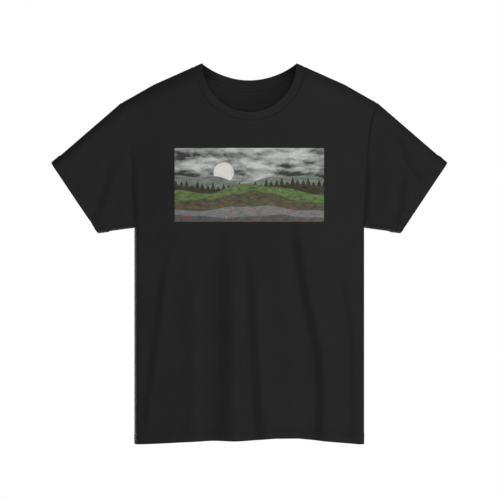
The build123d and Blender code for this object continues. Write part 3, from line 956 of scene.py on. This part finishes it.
def print_finish(ink):
    """Matt textile ink: pale sky, a round sun, tree line, rolling hills and a field with dots."""
    finish, tree, shader = new_finish("chest_ink")
    uv = flat_place(tree)
    u, v = two_parts(tree, uv)
    place = shirt_place(tree)

    def wave(turns, shift):
        return math_node(tree, "SINE", math_node(tree, "MULTIPLY_ADD", u, turns, shift))

    def zigzag(turns, shift):
        return math_node(tree, "PINGPONG", math_node(tree, "MULTIPLY_ADD", u, turns, shift), 0.5)

    def clamped(value, gain, shift):
        scaled = math_node(tree, "MULTIPLY_ADD", value, gain, shift)
        return math_node(tree, "MINIMUM", math_node(tree, "MAXIMUM", scaled, 0.0), 1.0)

    def below(level):
        return clamped(math_node(tree, "SUBTRACT", level, v), RIDGE_EDGE, 0.5)

    level_place = tree.nodes.new("ShaderNodeVectorMath")
    level_place.operation = "MULTIPLY"
    tree.links.new(place, level_place.inputs[0])
    level_place.inputs[1].default_value = CLOUD_STRETCH
    wide = level_place.outputs[0]
    cloud = clamped(noise_node(tree, wide, scale=17.0, detail=6.0, rough=0.62), gain=4.2, shift=-1.65)
    sky = mix_colour(tree, cloud, *shades(ink.sky, dark=0.16, light=2.3))
    du = math_node(tree, "SUBTRACT", u, SUN_PLACE)
    dv = math_node(tree, "SUBTRACT", v, SUN_PLACE)
    squares = math_node(tree, "ADD", math_node(tree, "MULTIPLY", du, du), math_node(tree, "MULTIPLY", dv, dv))
    away = math_node(tree, "SQRT", squares)
    disc = clamped(math_node(tree, "SUBTRACT", SUN_RADIUS, away), SUN_EDGE, 0.5)
    shown = mix_colour(tree, disc, sky, SUN_COLOUR)
    grain = noise_node(tree, place, scale=240.0, detail=4.0, rough=0.65)
    patchy = clamped(noise_node(tree, wide, scale=75.0, detail=5.0, rough=0.68), gain=2.6, shift=-0.8)

    tall = zigzag(*TREES)
    tree_height = math_node(tree, "MULTIPLY_ADD", zigzag(*TREE_SWINGS), *TREE_HEIGHT)
    for colour, dark, light, level, wooded, swings in PRINT_RIDGES:
        for size, turns, shift in swings:
            level = math_node(tree, "MULTIPLY_ADD", wave(turns, shift), size, level)
        if wooded:
            level = math_node(tree, "MULTIPLY_ADD", tall, tree_height, level)
        toned = mix_colour(tree, patchy, *shades(getattr(ink, colour), dark, light))
        shown = mix_colour(tree, below(level), shown, toned)
    dots = tree.nodes.new("ShaderNodeTexVoronoi")
    feed(tree, dots, {"Vector": uv, "Scale": DOTS_PER_METRE})
    spot = math_node(tree, "LESS_THAN", dots.outputs["Distance"], DOT_SIZE)
    spot = math_node(tree, "MULTIPLY", spot, below(DOTS_BELOW))
    spot = math_node(tree, "MULTIPLY", spot, math_node(tree, "GREATER_THAN", patchy, 0.5))
    shown = mix_colour(tree, spot, shown, ink.spark)
    shown = mix_colour(tree, math_node(tree, "MULTIPLY_ADD", grain, *INK_WEAR), shown, WORN_INK)
    rough = math_node(tree, "MULTIPLY_ADD", grain, *INK_ROUGH)
    feed(tree, shader, {"Base Color": shown, "Roughness": rough, "Specular IOR Level": 0.15})
    raise_surface(tree, shader, knit_height(tree, uv, WALE, COURSE), strength=0.25, distance=0.0002)
    return finish


def jersey_finish():
    """The shirt's jersey, made once."""
    ink = bpy.context.scene.shirt_colours
    return bpy.data.materials.get("black_jersey") or cloth_finish(
        "black_jersey", tuple(ink.jersey), WALE, COURSE, roughness=0.86, relief=0.35)


def place_piece(piece, finish, slot, *nodes):
    """Puts a finished piece on the shirt in place of its solids."""
    piece.data.materials.append(finish)
    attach(piece, "root")
    if nodes:
        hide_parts(*nodes)


class SHIRT_OT_panels(Operator):
    """Front and back panels with their folds and turned hem."""

    bl_idname = "shirt.panels"
    bl_label = "Panels"

    def execute(self, context):
        cut = context.scene.shirt_cut
        for name, node, front in (("front_cloth", "front_panel", True), ("back_cloth", "back_panel", False)):
            points, _, middle, up, cloth = panel_points(cut, front)
            flat = np.stack([middle, up], axis=-1)
            piece = grid_piece(name, [(points, flat)], [layer_weights(cut, up)], cloth=cloth)
            thicken(piece, 2 * cut.cloth, "layers")
            place_piece(piece, jersey_finish(), "jersey", node)
        return {"FINISHED"}


class SHIRT_OT_sleeves(Operator):
    """Set-in sleeves with their turned cuffs."""

    bl_idname = "shirt.sleeves"
    bl_label = "Sleeves"

    def execute(self, context):
        cut = context.scene.shirt_cut
        for hand, side in (("left", 1), ("right", -1)):
            points, _, around, along = sleeve_points(cut, side)
            uv = np.swapaxes(np.stack([around, along], axis=-1), 0, 1)
            sheet = (np.swapaxes(points, 0, 1), uv)
            piece = grid_piece(f"{hand}_sleeve_cloth", [sheet], [layer_weights(cut, along).T], joined=True)
            thicken(piece, 2 * cut.cloth, "layers")
            place_piece(piece, jersey_finish(), "jersey", f"sleeve_{hand}")
        return {"FINISHED"}


class SHIRT_OT_neckband(Operator):
    """Folded rib band round the neck."""

    bl_idname = "shirt.neckband"
    bl_label = "Neckband"

    def execute(self, context):
        cut = context.scene.shirt_cut
        ink = context.scene.shirt_colours
        halves = band_ring(cut, cut.band_width / 2)
        ribs = [round(lengths_along(half, 0)[-1] / cut.rib_pitch) for half in halves]
        seam, edge = ring_frame(cut, *(RIB_COLUMNS * count for count in ribs))
        width = edge - seam
        closed = np.concatenate([seam[-2:-1], seam, seam[1:2]])
        out = unit(np.cross(closed[2:] - closed[:-2], width))
        high = cut.band_thick / 2
        rib = np.cos(2 * math.pi * np.arange(len(seam)) / RIB_COLUMNS)
        rows = []
        for w, n in BAND_PROFILE:
            body = 1.0 if RIB_EDGE < w < 1.0 - RIB_EDGE else RIB_EDGE_SHARE
            proud = n * high + np.sign(n) * RIB_HEIGHT * rib * body
            rows.append(seam + width * w + out * (proud + BAND_LIFT)[:, None])
        points = np.stack(rows, axis=1)
        gone = lengths_along(seam, 0)
        steps = [math.dist(a, b) for a, b in zip(BAND_PROFILE[:-1], BAND_PROFILE[1:])]
        across = np.cumsum([0.0] + steps) * cut.band_width
        uv = np.stack(np.broadcast_arrays(gone[:, None], across[None]), axis=-1)
        piece = grid_piece("neckband_rib", [(points, uv)], joined=True)
        finish = cloth_finish(
            "black_rib", tuple(ink.rib), cut.rib_pitch / 2, RIB_COURSE, roughness=0.86, relief=0.3)
        place_piece(piece, finish, "rib", "neckband")
        return {"FINISHED"}


def tape_points(cut):
    """Inner face of the neck tape, side to side by down, with normals into the shirt."""
    reach = np.linspace(-TAPE_REACH, TAPE_REACH, TAPE_COLUMNS + 1)
    rows = []
    for step in TAPE_STEPS:
        x, z = neck_line(cut, reach, cut.band_width - TAPE_OVERLAP + step * cut.tape_width, False)
        rows.append(lift(cut, x, z, False))
    base = np.stack(rows, axis=1)
    normal = normals_of(base)
    normal *= -np.sign(normal[..., 1:2] + 1e-9)
    return base + normal * np.array(TAPE_LIFTS)[None, :, None], normal


class SHIRT_OT_tape(Operator):
    """Tape over the seam inside the back of the neck."""

    bl_idname = "shirt.tape"
    bl_label = "Neck tape"

    def execute(self, context):
        cut = context.scene.shirt_cut
        ink = context.scene.shirt_colours
        points, _ = tape_points(cut)
        along = lengths_along(points, 0)
        up = lengths_along(points, 1)
        piece = grid_piece("neck_tape_strip", [(points, np.stack([along, up], axis=-1))])
        thicken(piece, TAPE_THICK)
        piece.modifiers["thickness"].offset = 1.0
        finish = cloth_finish("black_tape", tuple(ink.tape), *TAPE_WEAVE, roughness=0.8, relief=0.5)
        place_piece(piece, finish, "tape", "neck_tape")
        return {"FINISHED"}


class SHIRT_OT_chest_ink(Operator):
    """Printed panel on the chest."""

    bl_idname = "shirt.chest_ink"
    bl_label = "Chest print"

    def execute(self, context):
        cut = context.scene.shirt_cut
        x = np.linspace(-0.5, 0.5, INK_COLUMNS + 1) * cut.print_width
        z = cut.print_top - np.linspace(1.0, 0.0, INK_ROWS + 1) * cut.print_height
        xs, zs = np.meshgrid(x, z, indexing="ij")
        base = lift(cut, xs, zs, True)
        points = base + normals_of(base) * (cut.puff + INK_LIFT)
        uv = np.stack([xs + cut.print_width / 2, zs - z[0]], axis=-1)
        piece = grid_piece("chest_ink", [(points, uv)])
        thicken(piece, INK_THICK)
        place_piece(piece, print_finish(context.scene.shirt_colours), "print", "chest_print")
        return {"FINISHED"}


def sew(line, normal, length):
    """Thread along a line on the cloth, diving in and out of it once a stitch."""
    gone = lengths_along(line, 0)
    count = int(gone[-1] / length)
    at = np.linspace(0.0, gone[-1], count * STITCH_STEPS + 1)
    spots = follow(line, gone, at)
    outs = unit(follow(normal, gone, at))
    aside = unit(np.cross(np.gradient(spots, axis=0), outs))
    phase = np.arange(len(at)) % STITCH_STEPS / STITCH_STEPS
    height = -THREAD_DIP + THREAD_RISE * np.sqrt(np.sin(math.pi * phase))
    half_out, half_aside = THREAD_HALF
    rings = []
    for turn in np.linspace(0.0, 2 * math.pi, THREAD_SIDES + 1):
        out = height + half_out * math.cos(turn)
        rings.append(spots + outs * out[:, None] + aside * half_aside * math.sin(turn))
    round_it = np.linspace(0.0, THREAD_GIRTH, THREAD_SIDES + 1)
    uv = np.stack(np.broadcast_arrays(at[:, None], round_it[None]), axis=-1)
    return np.stack(rings, axis=1), uv


def neck_stitch_line(cut, row, front):
    """Line of stitches on the body beside the neck seam, with the cloth's normals."""
    share = np.linspace(-NECK_STITCH_REACH, NECK_STITCH_REACH, FINE)
    lines = []
    for grow in (row - SLOPE_STEP, row, row + SLOPE_STEP):
        x, z = neck_line(cut, share, cut.band_width + grow, front)
        lines.append(lift(cut, x, z, front))
    normal = unit(np.cross(np.gradient(lines[1], axis=0), lines[2] - lines[0]))
    normal *= np.sign(normal[:, 1:2] * (-1.0 if front else 1.0))
    return lines[1] + normal * cut.puff * seam_rise(row), normal


class SHIRT_OT_stitching(Operator):
    """Double rows of stitches on the hem, the cuffs and round the neck."""

    bl_idname = "shirt.stitching"
    bl_label = "Stitching"

    def execute(self, context):
        cut = context.scene.shirt_cut
        rows_at = (cut.hem_depth - cut.needle_gap, cut.hem_depth)
        hem, neck, cuffs = [], [], []
        for front in (True, False):
            points, normal, _, up, _ = panel_points(cut, front)
            for row in rows_at:
                j = int(np.argmin(np.abs(up[len(up) // 2] - row)))
                hem.append(sew(points[1:-1, j], normal[1:-1, j], cut.stitch))
            for row in NECK_STITCHES:
                neck.append(sew(*neck_stitch_line(cut, row, front), cut.stitch))
        for side in (1, -1):
            points, normal, _, along = sleeve_points(cut, side)
            for row in rows_at:
                j = int(np.argmin(np.abs(along[:, 0] - row)))
                cuffs.append(sew(points[j], normal[j], cut.stitch))
        points, normal = tape_points(cut)
        tape = [sew(points[:, row], normal[:, row], cut.stitch) for row in TAPE_STITCHES]
        ink = context.scene.shirt_colours
        finish = thread_finish("sewing_thread", tuple(ink.thread))
        for name, rows in (("hem_stitches", hem), ("neck_stitches", neck), ("cuff_stitches", cuffs)):
            place_piece(grid_piece(name, rows, joined=True), finish, "jersey")
        finish = thread_finish("tape_thread", tuple(ink.tape_thread))
        place_piece(grid_piece("tape_stitches", tape, joined=True), finish, "tape")
        return {"FINISHED"}


def softbox(name, place, size, power):
    """Large soft light aimed at the middle of the shirt."""
    data = bpy.data.lights.new(name, "AREA")
    data.shape = "RECTANGLE"
    data.size, data.size_y = size
    data.energy = power
    aim(data, place, SHIRT_MIDDLE)


def aim(data, place, target):
    """Puts a light in its place, turned to a point."""
    lamp = add_object(data.name, data)
    lamp.location = place
    lamp.rotation_euler = (Vector(target) - Vector(place)).to_track_quat("-Z", "Y").to_euler()


class SHIRT_OT_stage(Operator):
    """Pale floor, white surroundings, soft lights and the camera."""

    bl_idname = "shirt.stage"
    bl_label = "Stage"

    def execute(self, context):
        scene = context.scene
        bm = bmesh.new()
        bmesh.ops.create_circle(bm, cap_ends=True, segments=96, radius=FLOOR_RADIUS)
        bmesh.ops.translate(bm, verts=bm.verts, vec=(0.0, 0.0, FLOOR_LEVEL))
        floor = mesh_object("floor", bm)
        finish, tree, shader = new_finish("pale_floor")
        feed(tree, shader, {
            "Base Color": (0.9, 0.9, 0.9), "Roughness": 0.9, "Specular IOR Level": 0.1,
            "Emission Color": (1.0, 1.0, 1.0), "Emission Strength": FLOOR_GLOW})
        floor.data.materials.append(finish)

        world = bpy.data.worlds.new("white_studio")
        scene.world = world
        world.use_nodes = True
        nodes = world.node_tree.nodes
        links = world.node_tree.links
        nodes.clear()
        out = nodes.new("ShaderNodeOutputWorld")
        path = nodes.new("ShaderNodeLightPath")
        both = nodes.new("ShaderNodeMixShader")
        links.new(path.outputs["Is Camera Ray"], both.inputs[0])
        for slot, strength in ((1, FILL), (2, 1.0)):
            white = nodes.new("ShaderNodeBackground")
            feed(world.node_tree, white, {"Color": (1.0, 1.0, 1.0), "Strength": strength})
            links.new(white.outputs[0], both.inputs[slot])
        links.new(both.outputs[0], out.inputs["Surface"])

        for bank in BANKS:
            softbox(*bank)
        spot = bpy.data.lights.new("neck_spot", "SPOT")
        spot.energy = SPOT_POWER
        spot.spot_size = SPOT_ANGLE
        spot.spot_blend = 1.0
        aim(spot, SPOT_PLACE, SPOT_TARGET)

        data = bpy.data.cameras.new("camera")
        data.sensor_width = SENSOR
        data.lens = SENSOR * abs(CAMERA_PLACE[1]) / FRAME_WIDTH
        camera = add_object("camera", data)
        camera.location = CAMERA_PLACE
        camera.rotation_euler = (math.pi / 2, 0.0, 0.0)
        scene.camera = camera
        scene.view_settings.view_transform = "Standard"
        return {"FINISHED"}


class SHIRT_PT_sidebar(Panel):
    """Lists the pieces of the shirt."""

    bl_idname = "SHIRT_PT_sidebar"
    bl_label = "T-shirt"
    bl_space_type = "VIEW_3D"
    bl_region_type = "UI"
    bl_category = "T-shirt"

    def draw(self, context):
        layout = self.layout
        for step in STEPS:
            layout.operator(step.bl_idname)
        for group in (context.scene.shirt_cut, context.scene.shirt_colours):
            box = layout.box()
            for name in group.__annotations__:
                box.prop(group, name)


STEPS = (SHIRT_OT_panels, SHIRT_OT_sleeves, SHIRT_OT_neckband, SHIRT_OT_tape, SHIRT_OT_chest_ink,
         SHIRT_OT_stitching, SHIRT_OT_stage)
CLASSES = (ShirtCut, ShirtColours, *STEPS, SHIRT_PT_sidebar)


def register():
    """Adds the shirt's sizes, colours, operators and panel."""
    for cls in CLASSES:
        bpy.utils.register_class(cls)
    bpy.types.Scene.shirt_cut = PointerProperty(type=ShirtCut)
    bpy.types.Scene.shirt_colours = PointerProperty(type=ShirtColours)


def unregister():
    """Takes them away again."""
    del bpy.types.Scene.shirt_colours
    del bpy.types.Scene.shirt_cut
    for cls in reversed(CLASSES):
        bpy.utils.unregister_class(cls)


def main():
    """Makes every piece and the stage."""
    register()
    bpy.ops.shirt.panels()
    bpy.ops.shirt.sleeves()
    bpy.ops.shirt.neckband()
    bpy.ops.shirt.tape()
    bpy.ops.shirt.chest_ink()
    bpy.ops.shirt.stitching()
    bpy.ops.shirt.stage()


if __name__ == "__main__":
    main()
